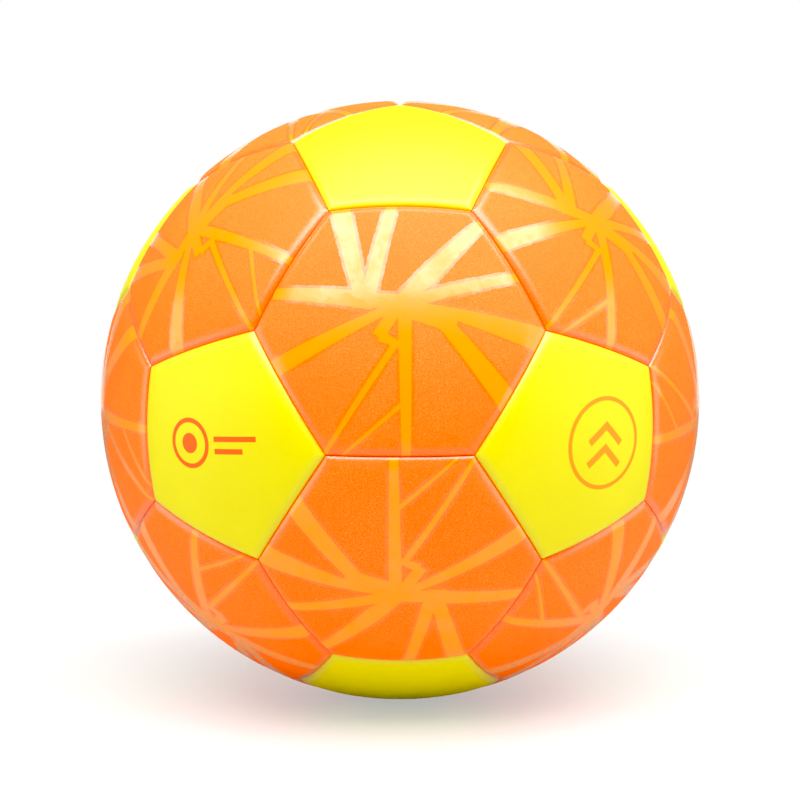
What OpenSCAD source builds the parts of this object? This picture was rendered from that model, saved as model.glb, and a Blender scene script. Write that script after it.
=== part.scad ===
// Soccer ball of thirty-two moulded panels: twenty hexagons and twelve pentagons.
// Each panel is a skin turned down over its own foam backing, and is glued to a rubber
// carcass. Under the carcass lie a thread winding and the bladder, with its valve.
// The origin is the centre of the ball, +Z is up, and -Y is the front.

/* [Ball] */
// Radius of the ball, over the crowns of its panels
ball_r = 110; // [90:0.5:113]
// Tilt of the whole panel pattern about X, in degrees
pattern_tilt = 8.8; // [-30:0.1:30]

/* [Panels] */
// Thickness of a panel, skin and foam together
panel_t = 3.5; // [2.5:0.1:6]
// Thickness of the skin, on top and where it turns down at the edges
skin_t = 0.9; // [0.6:0.1:1.2]
// Width of the seam between two panels
seam_w = 0.5; // [0.3:0.1:1]
// How far a panel's crown falls away by the middle of its sides
edge_drop = 0.6; // [0.1:0.1:0.8]

/* [Layers] */
// Thickness of the glue film between two layers, left as an open gap
glue_t = 0.1; // [0.05:0.01:0.2]
// Thickness of the rubber carcass
carcass_t = 0.6; // [0.4:0.1:1.2]
// Thickness of the thread winding
winding_t = 0.5; // [0.3:0.1:1]
// Thickness of the bladder
bladder_t = 0.6; // [0.4:0.1:1.2]

/* [Valve] */
// Radius of the valve housing's neck
neck_r = 4.6; // [4.2:0.1:6]
// Radius of the housing's flange inside the bladder
flange_r = 20; // [14:0.5:22]
// Thickness of the flange
flange_t = 1.1; // [0.8:0.1:1.6]
// Radius of the reinforcing patch between the flange and the bladder
patch_r = 24; // [23:0.5:30]
// Thickness of the reinforcing patch
patch_t = 0.6; // [0.4:0.1:1]
// Depth of the valve's mouth below the ball's surface
mouth_depth = 0.8; // [0.5:0.1:1.5]
// Length of the housing, from its mouth inwards
housing_len = 19; // [16:0.5:24]
// Radius of the valve core's stem
stem_r = 2.6; // [2.2:0.1:2.8]
// Radius of the valve core's head
head_r = 3.4; // [3.2:0.1:3.6]
// Thickness of the valve core's head
head_t = 0.9; // [0.6:0.1:1.5]
// Radius of the needle hole in the valve core
needle_r = 1.1; // [0.9:0.05:1.2]
// Depth of the needle hole, from the core's face
needle_depth = 8; // [6:0.5:12]
// Radial clearance between the valve core and its housing
core_clearance = 0.05; // [0.02:0.01:0.1]
// Radius of the balance patch, opposite the valve
balance_r = 17; // [12:0.5:22]

/* [Hidden] */
$fn = 96;

hexagon_colour = "#FB9130";
pentagon_colour = "#F3EC18";
foam_colour = "#F4F1E6";
carcass_colour = "#33302C";
winding_colour = "#E9E4D2";
bladder_colour = "#3A3836";
patch_colour = "#4A4642";
valve_colour = "#24231F";
core_colour = "#E6DFC8";

// Every radius is measured from the centre of the ball.
panel_inner_r = ball_r - panel_t;
carcass_outer_r = panel_inner_r - glue_t;
winding_outer_r = carcass_outer_r - carcass_t - glue_t;
bladder_outer_r = winding_outer_r - winding_t - glue_t;
patch_outer_r = bladder_outer_r - bladder_t - glue_t;
flange_outer_r = patch_outer_r - patch_t - glue_t;
reach = 1.3 * ball_r;

half_seam = seam_w / 2;
// How far a cutter runs past what it cuts
over = 1;

mouth_z = ball_r - mouth_depth;
housing_end_z = mouth_z - housing_len;
neck_hole_r = neck_r + glue_t;
collar_r = neck_hole_r + skin_t;
core_top_z = mouth_z;
head_bottom_z = core_top_z - head_t;
stem_end_z = housing_end_z + over;
tip_len = 1.2;
funnel_depth = 0.7;
funnel_r = 1.7 * needle_r;

// The twelve tips of an icosahedron with edges two units long
golden = (1 + sqrt(5)) / 2;
tips = [for (s = [-1, 1], t = [-golden, golden]) each [[0, s, t], [s, t, 0], [t, 0, s]]];
last_tip = len(tips) - 1;

function unit(v) = v / norm(v);
function angle_between(a, b) = acos(unit(a) * unit(b));
function linked(a, b) = a != b && norm(tips[a] - tips[b]) < 2.1;

// Cutting every edge of the icosahedron a third of the way along leaves the panel corners.
function corner_towards(a, b) = (2 * tips[a] + tips[b]) / 3;
function first_linked(a) = [for (b = [0 : last_tip]) if (linked(a, b)) b][0];

triangles = [
    for (a = [0 : last_tip], b = [a : last_tip], c = [b : last_tip])
    if (linked(a, b) && linked(b, c) && linked(a, c)) [a, b, c]
];
hexagon_centres = [for (t = triangles) tips[t[0]] + tips[t[1]] + tips[t[2]]];
hexagon_corners = [for (t = triangles) corner_towards(t[0], t[1])];
pentagon_centres = tips;
pentagon_corners = [for (a = [0 : last_tip]) corner_towards(a, first_linked(a))];

hexagon_spread = angle_between(hexagon_centres[0], hexagon_corners[0]);
pentagon_spread = angle_between(pentagon_centres[0], pentagon_corners[0]);

// The valve's hexagon lies at the back, in the plane X = 0.
valve_aim = [0, golden * golden, 1];
valve_panel = [
    for (i = [0 : len(triangles) - 1])
    if (angle_between(hexagon_centres[i], valve_aim) < 1) i
][0];

function two_digits(i) = str(i < 10 ? "0" : "", i);
hexagon_names = [for (i = [1 : len(triangles)]) str("hexagon_panel_", two_digits(i))];
pentagon_names = [for (i = [1 : len(tips)]) str("pentagon_panel_", two_digits(i))];

// Places a shape whose +Z is a panel's outward axis and whose +X points to a panel corner.
module on_panel(centre, corner) {
    out = unit(centre);
    side = unit(corner - (corner * out) * out);
    up = cross(out, side);
    rotate([pattern_tilt, 0, 0])
        multmatrix([
            [side.x, up.x, out.x, 0],
            [side.y, up.y, out.y, 0],
            [side.z, up.z, out.z, 0],
            [0, 0, 0, 1]
        ])
            children();
}

module on_hexagon(i) {
    on_panel(hexagon_centres[i], hexagon_corners[i]) children();
}

module on_pentagon(i) {
    on_panel(pentagon_centres[i], pentagon_corners[i]) children();
}

module at_valve() {
    on_hexagon(valve_panel) children();
}

module shell(inner_r, outer_r) {
    difference() {
        sphere(r = outer_r);
        sphere(r = inner_r);
    }
}

// Angle from a panel's axis to the middle of its side
function side_angle(sides, spread) = atan(tan(spread) * cos(180 / sides));

// The cone of space over a panel, with each side moved in by inset
module panel_space(sides, spread, inset) {
    corners = [
        for (k = [0 : sides - 1])
        let (turn = 360 * k / sides)
        reach * [sin(spread) * cos(turn), sin(spread) * sin(turn), cos(spread)]
    ];
    translate([0, 0, inset / sin(side_angle(sides, spread))])
        polyhedron(
            points = concat([[0, 0, 0]], corners),
            faces = concat(
                [[for (k = [sides : -1 : 1]) k]],
                [for (k = [1 : sides]) [0, k, k % sides + 1]]
            )
        );
}

// A ball whose centre is moved outwards, so that the panel's crown falls away to its edges
module crown(sides, spread, depth) {
    shift = edge_drop / (1 - cos(side_angle(sides, spread)));
    translate([0, 0, shift]) sphere(r = ball_r - shift - depth);
}

// The part of a panel that lies inset from its seams and depth below its crown
module panel_block(sides, spread, inset, depth) {
    difference() {
        intersection() {
            panel_space(sides, spread, inset);
            crown(sides, spread, depth);
        }
        sphere(r = panel_inner_r);
    }
}

module panel_skin(sides, spread) {
    difference() {
        panel_block(sides, spread, half_seam, 0);
        intersection() {
            panel_space(sides, spread, half_seam + skin_t);
            crown(sides, spread, skin_t);
        }
    }
}

module foam_backing(sides, spread) {
    panel_block(sides, spread, half_seam + skin_t + glue_t, skin_t + glue_t);
}

module valve_hole(r) {
    cylinder(r = r, h = reach);
}

// The ring of skin that turns down around the valve, as deep as the panel
module valve_collar() {
    intersection() {
        panel_block(6, hexagon_spread, half_seam, 0);
        cylinder(r = collar_r, h = reach);
    }
}

module hexagon_panel(i) {
    color(hexagon_colour)
        on_hexagon(i)
            difference() {
                union() {
                    panel_skin(6, hexagon_spread);
                    if (i == valve_panel) valve_collar();
                }
                if (i == valve_panel) valve_hole(neck_hole_r);
            }
}

module pentagon_panel(i) {
    color(pentagon_colour)
        on_pentagon(i)
            panel_skin(5, pentagon_spread);
}

module hexagon_foam_backings() {
    color(foam_colour)
        for (i = [0 : len(triangles) - 1])
            on_hexagon(i)
                difference() {
                    foam_backing(6, hexagon_spread);
                    if (i == valve_panel) valve_hole(collar_r + glue_t);
                }
}

module pentagon_foam_backings() {
    color(foam_colour)
        for (i = [0 : last_tip])
            on_pentagon(i)
                foam_backing(5, pentagon_spread);
}

// A closed round layer, open only where the valve's neck passes through it
module round_layer(outer_r, thickness) {
    difference() {
        shell(outer_r - thickness, outer_r);
        at_valve() valve_hole(neck_hole_r);
    }
}

module rubber_carcass() {
    color(carcass_colour) round_layer(carcass_outer_r, carcass_t);
}

module thread_winding() {
    color(winding_colour) round_layer(winding_outer_r, winding_t);
}

module bladder() {
    color(bladder_colour) round_layer(bladder_outer_r, bladder_t);
}

// A disc that follows the round of the ball, around the local +Z
module curved_disc(outer_r, thickness, disc_r) {
    intersection() {
        shell(outer_r - thickness, outer_r);
        cylinder(r = disc_r, h = reach);
    }
}

module valve_patch() {
    color(patch_colour)
        at_valve()
            difference() {
                curved_disc(patch_outer_r, patch_t, patch_r);
                valve_hole(neck_hole_r);
            }
}

module valve_housing() {
    color(valve_colour)
        at_valve()
            difference() {
                union() {
                    curved_disc(flange_outer_r, flange_t, flange_r);
                    translate([0, 0, housing_end_z]) cylinder(r = neck_r, h = housing_len);
                }
                valve_hole(stem_r + core_clearance);
                translate([0, 0, head_bottom_z - glue_t])
                    cylinder(r = head_r + core_clearance, h = head_t + over);
            }
}

module valve_core() {
    color(core_colour)
        at_valve()
            difference() {
                union() {
                    translate([0, 0, head_bottom_z]) cylinder(r = head_r, h = head_t);
                    translate([0, 0, stem_end_z]) cylinder(r = stem_r, h = head_bottom_z - stem_end_z);
                    translate([0, 0, stem_end_z - tip_len])
                        cylinder(r1 = stem_r - tip_len, r2 = stem_r, h = tip_len);
                }
                translate([0, 0, core_top_z - needle_depth]) cylinder(r = needle_r, h = needle_depth + over);
                translate([0, 0, core_top_z - funnel_depth])
                    cylinder(r1 = needle_r, r2 = funnel_r, h = funnel_depth);
            }
}

module balance_patch() {
    color(patch_colour)
        at_valve()
            mirror([0, 0, 1])
                curved_disc(patch_outer_r, patch_t + flange_t, balance_r);
}

for (i = [0 : len(triangles) - 1]) {
    hexagon_panel(i);
}
for (i = [0 : last_tip]) {
    pentagon_panel(i);
}
hexagon_foam_backings();
pentagon_foam_backings();
rubber_carcass();
thread_winding();
bladder();
valve_patch();
valve_housing();
valve_core();
balance_patch();
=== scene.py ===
"""A soccer ball of moulded, glued panels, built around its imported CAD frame.

The thirty-two panels' skins are made here, with rolled edges and printed rays, and replace the
plain CAD panels. The layers inside them and the valve are the CAD nodes, with new materials.
"""
import math

import bpy
import bmesh
from mathutils import Matrix, Vector


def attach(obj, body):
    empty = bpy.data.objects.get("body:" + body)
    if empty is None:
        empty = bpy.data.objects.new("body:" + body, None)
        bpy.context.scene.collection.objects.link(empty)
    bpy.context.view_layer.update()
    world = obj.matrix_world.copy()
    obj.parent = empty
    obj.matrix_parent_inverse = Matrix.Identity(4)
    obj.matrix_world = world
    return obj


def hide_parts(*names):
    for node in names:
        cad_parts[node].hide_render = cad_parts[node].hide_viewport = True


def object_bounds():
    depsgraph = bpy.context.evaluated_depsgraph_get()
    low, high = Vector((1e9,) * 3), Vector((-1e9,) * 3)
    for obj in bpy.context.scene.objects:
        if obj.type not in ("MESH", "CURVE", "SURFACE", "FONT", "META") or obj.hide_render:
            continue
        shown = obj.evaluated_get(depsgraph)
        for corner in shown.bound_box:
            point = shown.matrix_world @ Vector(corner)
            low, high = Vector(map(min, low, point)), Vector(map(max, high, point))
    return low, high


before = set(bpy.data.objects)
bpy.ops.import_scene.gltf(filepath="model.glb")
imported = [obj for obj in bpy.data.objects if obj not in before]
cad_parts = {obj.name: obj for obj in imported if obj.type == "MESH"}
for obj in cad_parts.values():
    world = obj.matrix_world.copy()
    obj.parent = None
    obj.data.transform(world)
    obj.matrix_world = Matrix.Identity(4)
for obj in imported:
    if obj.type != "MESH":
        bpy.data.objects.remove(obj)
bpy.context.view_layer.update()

MM = 0.001
BALL_R = max(vert.co.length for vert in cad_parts["hexagon_panel_01"].data.vertices)
WORLD_UP = Vector((0, 0, 1))


# ---------------------------------------------------------------- camera, floor and light

CAMERA_DISTANCE = 4.35 * BALL_R
LENS_MM = 57
SENSOR_MM = 36
# The film's black level, which deepens the colours as a contrasty product picture does.
FILM_BLACK = 0.05
ROOM_LIGHT = 0.3
FLOOR_R = 1.6
# Distances from the ball between which the floor fades away
FLOOR_FADE = (0.12, 0.7)
# How much of the floor is left out where the camera sees it, and in the ball's own gloss
FLOOR_FAINT_SEEN = 0.45
FLOOR_FAINT_IN_GLOSS = 0.75


def aim(item, target):
    """Turns a camera or lamp, which looks along its own -Z, to look at the target."""
    item.rotation_euler = (target - item.location).to_track_quat("-Z", "Y").to_euler()


def add_camera():
    data = bpy.data.cameras.new("camera")
    data.lens = LENS_MM
    data.sensor_width = SENSOR_MM
    data.clip_start = 0.01
    camera = bpy.data.objects.new("camera", data)
    camera.location = (0, -CAMERA_DISTANCE, 0)
    bpy.context.scene.collection.objects.link(camera)
    aim(camera, Vector((0, 0, 0)))
    bpy.context.scene.camera = camera


def add_softbox(name, direction, distance, size, radiance):
    """A soft lamp that faces the ball. Its direction is an azimuth, 90 to the right, and an elevation."""
    turn, lift = math.radians(direction[0]), math.radians(direction[1])
    data = bpy.data.lights.new(name, "AREA")
    data.shape = "RECTANGLE"
    data.size, data.size_y = size
    data.energy = radiance * math.pi * size[0] * size[1]
    lamp = bpy.data.objects.new(name, data)
    outwards = Vector((math.sin(turn) * math.cos(lift), -math.cos(turn) * math.cos(lift), math.sin(lift)))
    lamp.location = distance * outwards
    lamp.visible_camera = False
    bpy.context.scene.collection.objects.link(lamp)
    aim(lamp, Vector((0, 0, 0)))


def add_surroundings():
    """An even white room, brighter where it is seen than where it lights."""
    world = bpy.data.worlds.new("studio")
    bpy.context.scene.world = world
    world.use_nodes = True
    tree = world.node_tree
    fill = tree.nodes["Background"]
    fill.inputs["Color"].default_value = (1.0, 0.99, 0.97, 1)
    fill.inputs["Strength"].default_value = ROOM_LIGHT
    seen = tree.nodes.new("ShaderNodeBackground")
    seen.inputs["Color"].default_value = (1, 1, 1, 1)
    seen.inputs["Strength"].default_value = 1
    path = tree.nodes.new("ShaderNodeLightPath")
    choose = tree.nodes.new("ShaderNodeMixShader")
    tree.links.new(path.outputs["Is Camera Ray"], choose.inputs["Fac"])
    tree.links.new(fill.outputs[0], choose.inputs[1])
    tree.links.new(seen.outputs[0], choose.inputs[2])
    tree.links.new(choose.outputs[0], tree.nodes["World Output"].inputs["Surface"])


def add_floor():
    """A pale floor that fades into the white surroundings."""
    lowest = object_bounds()[0].z
    bpy.ops.mesh.primitive_circle_add(vertices=96, radius=FLOOR_R, fill_type="TRIFAN")
    floor = bpy.context.object
    floor.name = "floor"
    floor.location.z = lowest
    recipe = Recipe("floor_pale")
    recipe.plain(base=(0.78, 0.78, 0.775), roughness=0.7)
    distance = recipe.vector("LENGTH", recipe.place("Object"))
    path = recipe.node("ShaderNodeLightPath").outputs
    seen = recipe.number("MULTIPLY", path["Is Camera Ray"], FLOOR_FAINT_SEEN)
    mirrored = recipe.number("MULTIPLY", path["Is Glossy Ray"], FLOOR_FAINT_IN_GLOSS)
    faint = recipe.number("MAXIMUM", seen, mirrored)
    clearness = recipe.number("MAXIMUM", recipe.ramp(distance, *FLOOR_FADE), faint)
    clear = recipe.node("ShaderNodeBsdfTransparent")
    mix = recipe.node("ShaderNodeMixShader")
    recipe.feed(mix.inputs["Fac"], clearness)
    recipe.feed(mix.inputs[1], recipe.shader.outputs[0])
    recipe.feed(mix.inputs[2], clear.outputs[0])
    recipe.feed(recipe.tree.nodes["Material Output"].inputs["Surface"], mix.outputs[0])
    floor.data.materials.append(recipe.material)


def set_the_studio():
    film = bpy.context.scene.view_settings
    film.view_transform = "Standard"
    film.use_curve_mapping = True
    film.curve_mapping.black_level = (FILM_BLACK, FILM_BLACK, FILM_BLACK)
    film.curve_mapping.update()
    add_surroundings()
    add_floor()
    add_softbox("softbox_main", direction=(7, 63), distance=1.3, size=(2.2, 1.25), radiance=5.5)
    add_softbox("softbox_back", direction=(180, 14), distance=1.5, size=(1.8, 0.8), radiance=1.2)
    add_softbox("softbox_left", direction=(-75, 4), distance=1.4, size=(1.3, 1.2), radiance=1.5)
    add_softbox("softbox_right", direction=(75, 4), distance=1.4, size=(1.3, 1.2), radiance=1.5)


# ---------------------------------------------------------------- material recipes


class Recipe:
    """A material's node tree, with a short call for each kind of node in use."""

    def __init__(self, name):
        self.material = bpy.data.materials.new(name)
        self.material.use_nodes = True
        self.tree = self.material.node_tree
        self.shader = self.tree.nodes["Principled BSDF"]

    def node(self, kind, **settings):
        made = self.tree.nodes.new(kind)
        for name, value in settings.items():
            setattr(made, name, value)
        return made

    def feed(self, socket, value):
        """Links a socket, or sets a plain value on it."""
        if isinstance(value, bpy.types.NodeSocket):
            self.tree.links.new(value, socket)
        else:
            socket.default_value = value

    def plain(self, base=None, **values):
        """Sets values on the shader's own sockets, such as roughness=0.5."""
        if base is not None:
            self.shader.inputs["Base Color"].default_value = (*base, 1)
        for name, value in values.items():
            self.shader.inputs[name.replace("_", " ").title().replace("Ior", "IOR")].default_value = value

    def number(self, operation, first, second=0.0, third=0.0):
        made = self.node("ShaderNodeMath", operation=operation)
        for socket, value in zip(made.inputs, (first, second, third)):
            self.feed(socket, value)
        return made.outputs[0]

    def vector(self, operation, first, second=(0, 0, 0)):
        made = self.node("ShaderNodeVectorMath", operation=operation)
        self.feed(made.inputs[0], first)
        if operation == "SCALE":
            self.feed(made.inputs["Scale"], second)
        else:
            self.feed(made.inputs[1], second)
        return made.outputs["Value" if operation in ("LENGTH", "DOT_PRODUCT") else "Vector"]

    def ramp(self, value, low, high, at_low=0.0, at_high=1.0):
        """A smooth step from at_low to at_high as value goes from low to high."""
        made = self.node("ShaderNodeMapRange", interpolation_type="SMOOTHSTEP")
        for socket, number in zip(made.inputs, (value, low, high, at_low, at_high)):
            self.feed(socket, number)
        return made.outputs["Result"]

    def colours(self, share, first, second):
        """A colour between two, each a linear triple or a socket."""
        made = self.node("ShaderNodeMix", data_type="RGBA")
        self.feed(made.inputs["Factor"], share)
        for socket, colour in ((made.inputs[6], first), (made.inputs[7], second)):
            self.feed(socket, (*colour, 1) if isinstance(colour, tuple) else colour)
        return made.outputs[2]

    def place(self, kind):
        return self.node("ShaderNodeTexCoord").outputs[kind]

    def attribute(self, name):
        return self.node("ShaderNodeAttribute", attribute_name=name).outputs["Vector"]

    def noise(self, where, scale, detail=2.0, roughness=0.5):
        made = self.node("ShaderNodeTexNoise")
        self.feed(made.inputs["Vector"], where)
        self.feed(made.inputs["Scale"], scale)
        self.feed(made.inputs["Detail"], detail)
        self.feed(made.inputs["Roughness"], roughness)
        return made.outputs["Fac"]

    def cells(self, where, scale, feature="SMOOTH_F1"):
        made = self.node("ShaderNodeTexVoronoi", feature=feature)
        self.feed(made.inputs["Vector"], where)
        self.feed(made.inputs["Scale"], scale)
        return made.outputs["Distance"]

    def bump(self, height, depth, after=None):
        """Bump whose height runs from 0 to depth, in metres."""
        made = self.node("ShaderNodeBump")
        self.feed(made.inputs["Height"], height)
        made.inputs["Distance"].default_value = depth
        if after is not None:
            self.feed(made.inputs["Normal"], after)
        return made.outputs["Normal"]

    def finish(self, colour=None, roughness=None, normal=None):
        for name, value in (("Base Color", colour), ("Roughness", roughness), ("Normal", normal)):
            if value is not None:
                self.feed(self.shader.inputs[name], value)
        return self.material


# ---------------------------------------------------------------- printed shapes, in millimetres on a panel

# Each ray: its outer end, its inner end, and its width at each. A hexagon's rays spread from
# near its middle, the main one runs straight down, and the last four fill in where they meet.
RAYS = (
    ((-20, 42), (-11.5, 8), 6.5, 4.2),
    ((-2.5, 42), (-9.5, 7.5), 3.6, 4.4),
    ((28, 37), (8, 14), 3.2, 5.8),
    ((8, 14), (-2.5, 4), 5.8, 2.6),
    ((40, 17.5), (4, 6.5), 3, 4),
    ((49, -4.5), (3, 5.5), 9, 1.4),
    ((36.5, -27), (13.5, -0.5), 7.4, 4.4),
    ((2, -44), (1.4, 2), 2.8, 4),
    ((-25, -42.5), (-1.5, -7), 1.4, 2),
    ((-20, -43), (0.5, -25), 0.9, 1.4),
    ((-41, -14), (-3, 4), 6, 2.6),
    ((-41, 11.5), (-8, 6.5), 3.8, 5.6),
    ((-14, 6.8), (5, 6), 5, 4),
    ((0, 4.5), (16.5, -1.5), 5.5, 4),
    ((-0.5, 4.5), (-6.5, -4.5), 3.6, 3.6),
    ((-6, -4.5), (0, -7), 3, 2),
)
FAR_OUTSIDE = -1000.0


def bar(recipe, where, start, end, start_width, end_width):
    """How far inside a tapered straight bar a place is: above 0 inside, below 0 outside."""
    start, end = Vector(start), Vector(end)
    length = (end - start).length
    along_axis = (end - start) / length
    across_axis = Vector((-along_axis.y, along_axis.x))
    along = recipe.vector("DOT_PRODUCT", where, (*along_axis, 0))
    along = recipe.number("SUBTRACT", along, start.dot(along_axis))
    across = recipe.vector("DOT_PRODUCT", where, (*across_axis, 0))
    across = recipe.number("SUBTRACT", across, start.dot(across_axis))
    across = recipe.number("ABSOLUTE", across)
    widening = (end_width - start_width) / length
    half_width = recipe.number("MULTIPLY_ADD", along, widening / 2, start_width / 2)
    beside = recipe.number("SUBTRACT", half_width, across)
    ends = recipe.number("MINIMUM", along, recipe.number("SUBTRACT", length, along))
    return recipe.number("MINIMUM", beside, ends)


def ring(recipe, where, centre, radius, width):
    """How far inside the line of a circle a place is."""
    offset = recipe.vector("SUBTRACT", where, (*centre, 0))
    flat = recipe.vector("MULTIPLY", offset, (1, 1, 0))
    away = recipe.number("SUBTRACT", recipe.vector("LENGTH", flat), radius)
    return recipe.number("SUBTRACT", width / 2, recipe.number("ABSOLUTE", away))


def joined(recipe, insides):
    """The union of shapes, each given as how far inside it a place is."""
    total = FAR_OUTSIDE
    for inside in insides:
        total = recipe.number("MAXIMUM", inside, total)
    return total


def rays(recipe, where):
    return joined(recipe, [bar(recipe, where, *ray) for ray in RAYS])


def dot_and_bars(recipe, where):
    """A plain mark: a ring around a dot, beside two bars."""
    centre = (-8.5, 1)
    return joined(recipe, [
        ring(recipe, where, centre, 7.2, 1.5),
        ring(recipe, where, centre, 1.6, 3.2),
        bar(recipe, where, (1.5, 2.4), (17, 2.4), 1.7, 1.7),
        bar(recipe, where, (1.5, -1.4), (12, -1.4), 1.7, 1.7),
    ])


def ringed_chevrons(recipe, where):
    """A plain mark: two chevrons in a ring, each a bar that is mirrored about the ring's middle."""
    middle = 6.5
    # The absolute value mirrors both ways, so the mark is lifted clear of the other fold.
    lift = 50
    mirrored = recipe.vector("ABSOLUTE", recipe.vector("ADD", where, (-middle, lift, 0)))
    chevrons = [
        bar(recipe, mirrored, (-1.3, lift + tip + 1.1), (6.5, lift + tip - 5.5), 2.2, 2.2)
        for tip in (6.5, -0.5)
    ]
    return joined(recipe, chevrons + [ring(recipe, where, (middle, 1), 14, 1.4)])


# ---------------------------------------------------------------- panel materials

ORANGE = (0.98, 0.145, 0.001)
# Paler orange on the grain's crests: partly the skin's own speckle, partly a painted sheen that whitens the
# matt orange.
ORANGE_SPECKLE_AND_SHEEN = (0.98, 0.26, 0.035)
RAY_INK = (0.97, 0.28, 0.002)
YELLOW = (0.71, 0.655, 0.002)
YELLOW_DEEP = (0.68, 0.62, 0.001)
MARK_RED = (0.9, 0.11, 0.001)
MARK_AMBER = (0.95, 0.27, 0.001)
# Painted shade in the hexagons' seam grooves, a deeper red.
GROOVE_SHADE_RED = (0.97, 0.14, 0.001)
# Painted reflection in the pentagons' seam grooves: orange light bounced from the orange panels.
GROOVE_BOUNCE_ORANGE = (0.97, 0.4, 0.001)
TEXTILE = (0.72, 0.70, 0.64)
TALC = (0.6, 0.59, 0.56)
PEBBLES_PER_M = 3000
FUZZ_PER_M = 3600
PEBBLE_DEPTH = 0.00008
VARNISH_DEPTH = 0.00004
SATIN_DEPTH = 0.00005


def skin_grain(recipe, where):
    """The fine pebble of coated synthetic leather, about a third of a millimetre from crest to crest."""
    pebbles = recipe.cells(where, PEBBLES_PER_M)
    fuzz = recipe.noise(where, FUZZ_PER_M, detail=3)
    return recipe.number("MULTIPLY_ADD", fuzz, 0.45, pebbles)


def from_seam(recipe):
    """The distance from the panel's seams in millimetres, and -1 on the side that faces the foam."""
    split = recipe.node("ShaderNodeSeparateXYZ")
    recipe.feed(split.inputs[0], recipe.attribute("panel_place"))
    return split.outputs["Z"]


def clear_of_groove_shade(recipe):
    """From 0 in the seam's groove to 1 on the panel's face, where the painted shade and painted bounce
    light of the groove fade out.
    """
    return recipe.ramp(from_seam(recipe), 0.05, 0.35)


def pressed_edge(recipe):
    """From 1 at the seam to 0 a few millimetres in, where the mould pressed the skin smooth."""
    return recipe.ramp(from_seam(recipe), 0.4, 3.6, 1.0, 0.0)


def backed(recipe, colour):
    """The skin's colour outside, and its woven backing where it faces the foam."""
    return recipe.colours(recipe.ramp(from_seam(recipe), -0.6, -0.4), TEXTILE, colour)


def printed_hexagon_skin():
    """Matt orange skin with glossy rays, which a wider band of varnish covers."""
    recipe = Recipe("hexagon_skin_printed")
    where = recipe.place("Object")
    panel = recipe.attribute("panel_place")
    grain = skin_grain(recipe, where)
    inside = rays(recipe, panel)
    ink = recipe.ramp(inside, -0.12, 0.12)
    ragged = recipe.number("MULTIPLY_ADD", recipe.noise(where, 700), 0.9, inside)
    varnish = recipe.ramp(ragged, -0.65, -0.35)
    wear = recipe.ramp(recipe.noise(where, 110, detail=8, roughness=0.85), 0.38, 0.62, 0.2, 0.95)
    worn_varnish = recipe.number("MULTIPLY", varnish, wear)
    pressed = pressed_edge(recipe)
    recipe.feed(recipe.shader.inputs["Coat Weight"], recipe.number("MAXIMUM", worn_varnish, pressed))
    cloud = recipe.noise(where, 28, detail=3)
    # The paler crests are partly grain tone and partly a painted sheen, a whitish haze put into the colour.
    crests = recipe.ramp(grain, 0.45, 0.95)
    speckle_and_sheen = recipe.number("MULTIPLY", crests, recipe.ramp(cloud, 0.2, 0.8, 0.35, 0.8))
    base = recipe.colours(speckle_and_sheen, ORANGE, ORANGE_SPECKLE_AND_SHEEN)
    colour = recipe.colours(ink, base, RAY_INK)
    # Painted shade: the seam's groove is tinted a deeper red, standing in for the shade and orange bounce
    # light between its walls.
    colour = recipe.colours(clear_of_groove_shade(recipe), GROOVE_SHADE_RED, colour)
    roughness = recipe.ramp(recipe.number("MAXIMUM", varnish, pressed), 0, 1, 0.7, 0.3)
    relief = recipe.number("MULTIPLY", grain, recipe.ramp(varnish, 0, 1, 1.0, 0.22))
    bump = recipe.bump(relief, PEBBLE_DEPTH)
    bump = recipe.bump(varnish, VARNISH_DEPTH, after=bump)
    recipe.plain(specular_ior_level=0.6, coat_roughness=0.2, coat_ior=1.65)
    return recipe.finish(backed(recipe, colour), roughness, bump)


def pentagon_skin(name, mark=None, mark_ink=None):
    """Satin yellow skin, with a printed mark where one is given."""
    recipe = Recipe(name)
    where = recipe.place("Object")
    grain = skin_grain(recipe, where)
    cloud = recipe.noise(where, 24, detail=3)
    colour = recipe.colours(recipe.ramp(cloud, 0.3, 0.7), YELLOW, YELLOW_DEEP)
    if mark is not None:
        ink = recipe.ramp(mark(recipe, recipe.attribute("panel_place")), -0.1, 0.1)
        colour = recipe.colours(ink, colour, mark_ink)
    # Painted reflection: the seam's groove is tinted orange, standing in for light bounced onto the yellow
    # skin by the orange panels beside it.
    colour = recipe.colours(clear_of_groove_shade(recipe), GROOVE_BOUNCE_ORANGE, colour)
    recipe.feed(recipe.shader.inputs["Coat Weight"], pressed_edge(recipe))
    roughness = recipe.ramp(grain, 0.2, 0.9, 0.44, 0.54)
    recipe.plain(specular_ior_level=0.6, coat_roughness=0.2)
    return recipe.finish(backed(recipe, colour), roughness, recipe.bump(grain, SATIN_DEPTH))


# ---------------------------------------------------------------- materials of the inner pieces and valve


def foam():
    """Closed-cell foam: fine round cells in an off-white sheet."""
    recipe = Recipe("closed_cell_foam")
    where = recipe.place("Object")
    cell = recipe.cells(where, 1300, feature="F1")
    tint = recipe.noise(where, 60, detail=4)
    colour = recipe.colours(recipe.number("MULTIPLY", cell, tint), (0.62, 0.58, 0.48), (0.9, 0.88, 0.8))
    recipe.plain(specular_ior_level=0.25)
    return recipe.finish(colour, recipe.ramp(cell, 0, 0.7, 0.75, 0.92), recipe.bump(cell, 0.0003))


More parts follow.
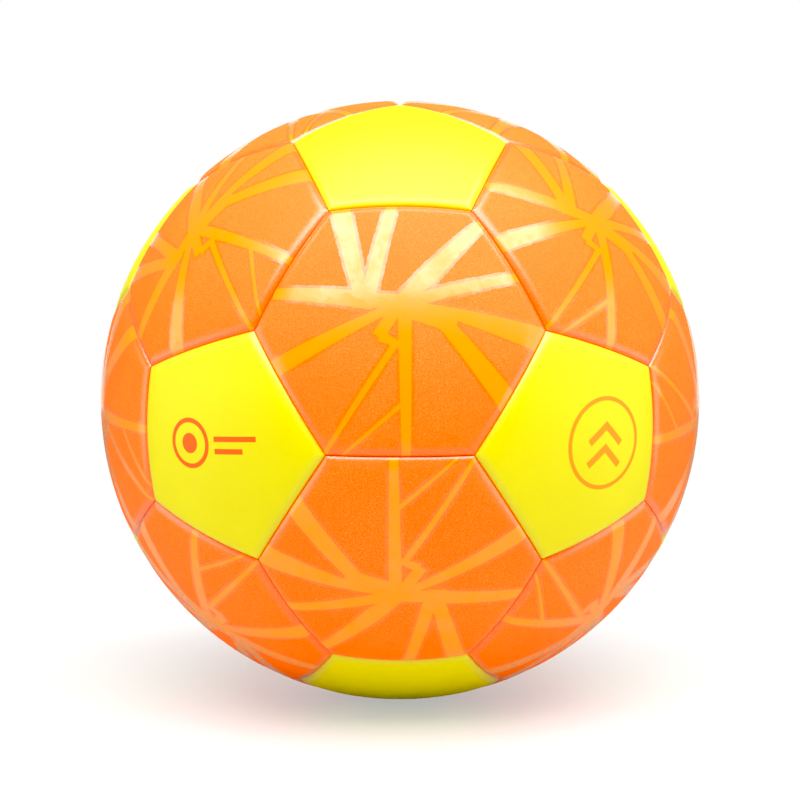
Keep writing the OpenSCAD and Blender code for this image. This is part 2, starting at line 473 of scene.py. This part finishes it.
def rubber(name, dark, light, dust=0.0, roughness=0.6):
    """Moulded rubber with a faint bloom and, where dust is above 0, the talc it is stored in."""
    recipe = Recipe(name)
    where = recipe.place("Object")
    fine = recipe.noise(where, 900, detail=5)
    bloom = recipe.ramp(recipe.noise(where, 45, detail=6, roughness=0.65), 0.35, 0.75)
    colour = recipe.colours(bloom, dark, light)
    if dust:
        cover = recipe.ramp(bloom, 0, 1, 0.2 * dust, dust)
        powder = recipe.number("MULTIPLY", recipe.ramp(fine, 0.45, 0.7), cover)
        colour = recipe.colours(powder, colour, TALC)
    rough = recipe.ramp(bloom, 0, 1, roughness - 0.1, roughness + 0.12)
    recipe.plain(specular_ior_level=0.4)
    return recipe.finish(colour, rough, recipe.bump(fine, 0.00005))


def wound_thread():
    """Nylon yarn wound over the bladder in three crossing directions."""
    recipe = Recipe("wound_nylon_thread")
    where = recipe.place("Object")
    strands = []
    for turn in ((0, 0, 0), (1.1, 0.4, 0.2), (0.5, 1.3, 0.9)):
        turned = recipe.node("ShaderNodeMapping")
        recipe.feed(turned.inputs["Vector"], where)
        turned.inputs["Rotation"].default_value = turn
        strand = recipe.node("ShaderNodeTexWave", bands_direction="Z")
        recipe.feed(strand.inputs["Vector"], turned.outputs[0])
        strand.inputs["Scale"].default_value = 320
        strand.inputs["Distortion"].default_value = 3
        strand.inputs["Detail"].default_value = 1
        strand.inputs["Detail Scale"].default_value = 0.15
        strands.append(strand.outputs["Fac"])
    height = joined(recipe, strands)
    colour = recipe.colours(height, (0.36, 0.33, 0.26), (0.86, 0.83, 0.72))
    recipe.plain(specular_ior_level=0.45, sheen_weight=0.2)
    return recipe.finish(colour, recipe.ramp(height, 0, 1, 0.8, 0.5), recipe.bump(height, 0.0004))


# ---------------------------------------------------------------- the panels' pattern

GOLDEN = (1 + math.sqrt(5)) / 2
PATTERN_TILT = math.radians(8.8)
VALVE_PANEL = "hexagon_panel_16"
HEXAGON_NEIGHBOURS = 6

# The panel that the main ray of each hexagon at the front points to
MAIN_RAY_TOWARDS = {
    "hexagon_panel_07": "hexagon_panel_02",
    "hexagon_panel_02": "hexagon_panel_07",
    "hexagon_panel_08": "hexagon_panel_07",
    "hexagon_panel_11": "pentagon_panel_08",
    "hexagon_panel_01": "pentagon_panel_02",
    "hexagon_panel_05": "hexagon_panel_02",
}


def icosahedron_tips():
    """The twelve tips, with edges two units long."""
    return [
        Vector(tip)
        for s in (-1, 1)
        for t in (-GOLDEN, GOLDEN)
        for tip in ((0, s, t), (s, t, 0), (t, 0, s))
    ]


def panel_pattern():
    """Every panel's name with its side count, outward direction and the direction of one corner."""
    tips = icosahedron_tips()
    count = len(tips)
    tilt = Matrix.Rotation(PATTERN_TILT, 3, "X")

    def linked(a, b):
        return a != b and (tips[a] - tips[b]).length < 2.1

    triangles = [
        (a, b, c)
        for a in range(count)
        for b in range(a, count)
        for c in range(b, count)
        if linked(a, b) and linked(b, c) and linked(a, c)
    ]
    pattern = {}
    for number, (a, b, c) in enumerate(triangles, 1):
        out = tilt @ (tips[a] + tips[b] + tips[c]).normalized()
        corner = tilt @ (2 * tips[a] + tips[b]).normalized()
        pattern[f"hexagon_panel_{number:02d}"] = (6, out, corner)
    for a in range(count):
        b = next(b for b in range(count) if linked(a, b))
        corner = tilt @ (2 * tips[a] + tips[b]).normalized()
        pattern[f"pentagon_panel_{a + 1:02d}"] = (5, tilt @ tips[a].normalized(), corner)
    return pattern


def print_axes(name, pattern):
    """The right and up directions of a panel's print. Hidden hexagons point to neighbours in turn."""
    out = pattern[name][1]
    if name.startswith("hexagon"):
        others = sorted((p for p in pattern if p != name), key=lambda p: -pattern[p][1].dot(out))
        in_turn = others[int(name[-2:]) % HEXAGON_NEIGHBOURS]
        down = pattern[MAIN_RAY_TOWARDS.get(name, in_turn)][1]
        up = -(down - down.dot(out) * out)
    else:
        up = WORLD_UP - WORLD_UP.dot(out) * out
    up.normalize()
    return up.cross(out), up


# ---------------------------------------------------------------- panel shape

ARC_STEPS = 6
SIDE_STEPS = 12
HALF_SEAM = 0.04 * MM
ROLL_WIDTH = 2.4 * MM
ROLL_DEPTH = 1.2 * MM
# How far the roll turns over before the seam: 1 is all the way to upright
ROLL_SHARE = 0.93
SHOULDER_WIDTH = 6 * MM
SHOULDER_DEPTH = 0.55 * MM
CORNER_FILLET = 0.6 * MM
SKIN = 0.9 * MM
PANEL_DEPTH = 3.5 * MM
# Where the cross-section has a point, in millimetres in from the seam or below the ball's radius
FINE_INSETS = (6.5, 5, 4, 3.2, 2.6, 2.2, 1.8, 1.45, 1.1, 0.8, 0.55, 0.35, 0.2, 0.1, 0.03, 0)
WALL_DROPS = (1.9, 2.7)
UNDERSIDE_INSETS = (1.6, 3, 6)
COARSE_STEP = 3.2 * MM
VALVE_HOLE_R = 4.7 * MM
HOLE_ROLL = 0.6 * MM
HOLE_ROLL_STEPS = 5


def crown_drop(inset):
    """How far the skin lies below the ball's radius, that far in from its seam."""
    roll = ROLL_SHARE * max(0.0, 1 - inset / ROLL_WIDTH)
    shoulder = max(0.0, 1 - inset / SHOULDER_WIDTH)
    return ROLL_DEPTH * (1 - math.sqrt(1 - roll * roll)) + SHOULDER_DEPTH * shoulder * shoulder


def rounded_polygon(sides, first_corner, apothem, fillet):
    """Points around a regular polygon with filleted corners, equally many for every size."""
    half = math.pi / sides
    arcs = []
    for k in range(sides):
        corner = first_corner + 2 * half * k
        centre = Vector((math.cos(corner), math.sin(corner))) * ((apothem - fillet) / math.cos(half))
        turns = [corner - half + 2 * half * j / ARC_STEPS for j in range(ARC_STEPS + 1)]
        arcs.append([centre + fillet * Vector((math.cos(t), math.sin(t))) for t in turns])
    points = []
    for k, arc in enumerate(arcs):
        points += arc
        start, end = arc[-1], arcs[(k + 1) % sides][0]
        points += [start.lerp(end, j / SIDE_STEPS) for j in range(1, SIDE_STEPS)]
    return points


def outline(sides, first_corner, side_angle, inset):
    """A panel's outline that far in from its seams, on the plane that touches the ball at its middle."""
    apothem = math.tan(side_angle - inset / BALL_R)
    fillet = (CORNER_FILLET + 0.8 * inset) / BALL_R
    return rounded_polygon(sides, first_corner, apothem, min(fillet, 0.999 * apothem))


def panel_rings(half_width, hole):
    """The cross-section as (inset, height, is_outside), from the middle over the edge and back below."""
    middle = half_width - hole
    top_start = middle - HOLE_ROLL if hole else middle
    coarse_start = FINE_INSETS[0] * MM
    steps = max(1, round((top_start - coarse_start) / COARSE_STEP))
    coarse = [top_start + (coarse_start - top_start) * j / steps for j in range(0 if hole else 1, steps)]
    top = [(inset, -crown_drop(inset), True) for inset in coarse]
    top += [(inset * MM, -crown_drop(inset * MM), True) for inset in FINE_INSETS]
    wall = [(0, -drop * MM, True) for drop in WALL_DROPS]
    rim = [(0, -PANEL_DEPTH, True), (SKIN, -PANEL_DEPTH, False), (SKIN, -WALL_DROPS[0] * MM, False)]
    below_insets = [inset * MM for inset in UNDERSIDE_INSETS] + coarse[::-1][1::2]
    below = [(inset, -SKIN - crown_drop(inset), False) for inset in below_insets]
    if not hole:
        return top + wall + rim + below
    behind = middle - SKIN
    collar = [(behind, -SKIN, False), (behind, -PANEL_DEPTH, False), (middle, -PANEL_DEPTH, True)]
    turns = [math.pi / 2 * j / HOLE_ROLL_STEPS for j in range(HOLE_ROLL_STEPS)]
    mouth = [
        (top_start + HOLE_ROLL * math.cos(turn), HOLE_ROLL * (math.sin(turn) - 1), True)
        for turn in turns
    ]
    return top + wall + rim + below + collar + mouth


def build_panel(name, pattern, material):
    """One skin: its crown, rolled edges, turned-down walls and the hollow that its foam fills."""
    sides, out, corner = pattern[name]
    right, up = print_axes(name, pattern)
    hole = VALVE_HOLE_R if name == VALVE_PANEL else 0
    first_corner = math.atan2(corner.dot(up), corner.dot(right))
    corner_angle = out.angle(corner)
    seam_angle = math.atan(math.tan(corner_angle) * math.cos(math.pi / sides))
    side_angle = seam_angle - HALF_SEAM / BALL_R
    half_width = side_angle * BALL_R
    mesh = bmesh.new()
    places = mesh.verts.layers.float_vector.new("panel_place")

    def add_point(flat, height, depth):
        """A point over a place on the plane that touches the ball at the panel's middle."""
        direction = (flat.x * right + flat.y * up + out).normalized()
        vert = mesh.verts.new(direction * (BALL_R + height))
        vert[places] = Vector((flat.x * BALL_R / MM, flat.y * BALL_R / MM, depth))
        return vert

    rings = []
    for inset, height, outside in panel_rings(half_width, hole):
        depth = inset / MM if outside else -1
        points = outline(sides, first_corner, side_angle, inset)
        rings.append([add_point(p, height, depth) for p in points])
    count = len(rings[0])
    closed = rings + rings[:1] if hole else rings
    for inner, outer in zip(closed, closed[1:]):
        for j in range(count):
            after = (j + 1) % count
            mesh.faces.new((inner[j], outer[j], outer[after], inner[after]))
    if not hole:
        top = add_point(Vector((0, 0)), 0, 0)
        bottom = add_point(Vector((0, 0)), -SKIN, -1)
        for j in range(count):
            after = (j + 1) % count
            mesh.faces.new((top, rings[0][j], rings[0][after]))
            mesh.faces.new((bottom, rings[-1][after], rings[-1][j]))
    for face in mesh.faces:
        face.smooth = True
    mesh.normal_update()
    data = bpy.data.meshes.new(name + "_skin")
    mesh.to_mesh(data)
    mesh.free()
    data.materials.append(material)
    piece = bpy.data.objects.new(name + "_skin", data)
    bpy.context.scene.collection.objects.link(piece)
    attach(piece, "ball")
    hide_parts(name)


def build_panels():
    pattern = panel_pattern()
    hexagon_material = printed_hexagon_skin()
    pentagon_material = pentagon_skin("pentagon_skin_plain")
    marked = {
        "pentagon_panel_02": pentagon_skin("pentagon_skin_ring_mark", dot_and_bars, MARK_RED),
        "pentagon_panel_08": pentagon_skin("pentagon_skin_chevron_mark", ringed_chevrons, MARK_AMBER),
    }
    for name in pattern:
        plain = hexagon_material if name.startswith("hexagon") else pentagon_material
        build_panel(name, pattern, marked.get(name, plain))


# ---------------------------------------------------------------- carried-over CAD nodes


def dress(node, material):
    """Gives a CAD node its material, on every slot."""
    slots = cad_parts[node].data.materials
    if not slots:
        slots.append(material)
    for index in range(len(slots)):
        slots[index] = material


def dress_inner_pieces():
    patch = rubber("patch_rubber", (0.05, 0.045, 0.04), (0.1, 0.092, 0.085), dust=0.4)
    housing = rubber("valve_rubber", (0.018, 0.017, 0.015), (0.05, 0.048, 0.045), roughness=0.5)
    foam_material = foam()
    dress("hexagon_foam_backings", foam_material)
    dress("pentagon_foam_backings", foam_material)
    dress("rubber_carcass", rubber("carcass_rubber", (0.03, 0.027, 0.024), (0.07, 0.065, 0.06)))
    dress("thread_winding", wound_thread())
    dress("bladder", rubber("bladder_rubber", (0.035, 0.033, 0.03), (0.08, 0.076, 0.07), dust=0.6))
    dress("valve_patch", patch)
    dress("balance_patch", patch)
    dress("valve_housing", housing)
    dress("valve_core", rubber("core_rubber", (0.62, 0.57, 0.42), (0.76, 0.72, 0.6), roughness=0.45))


add_camera()
build_panels()
dress_inner_pieces()
set_the_studio()
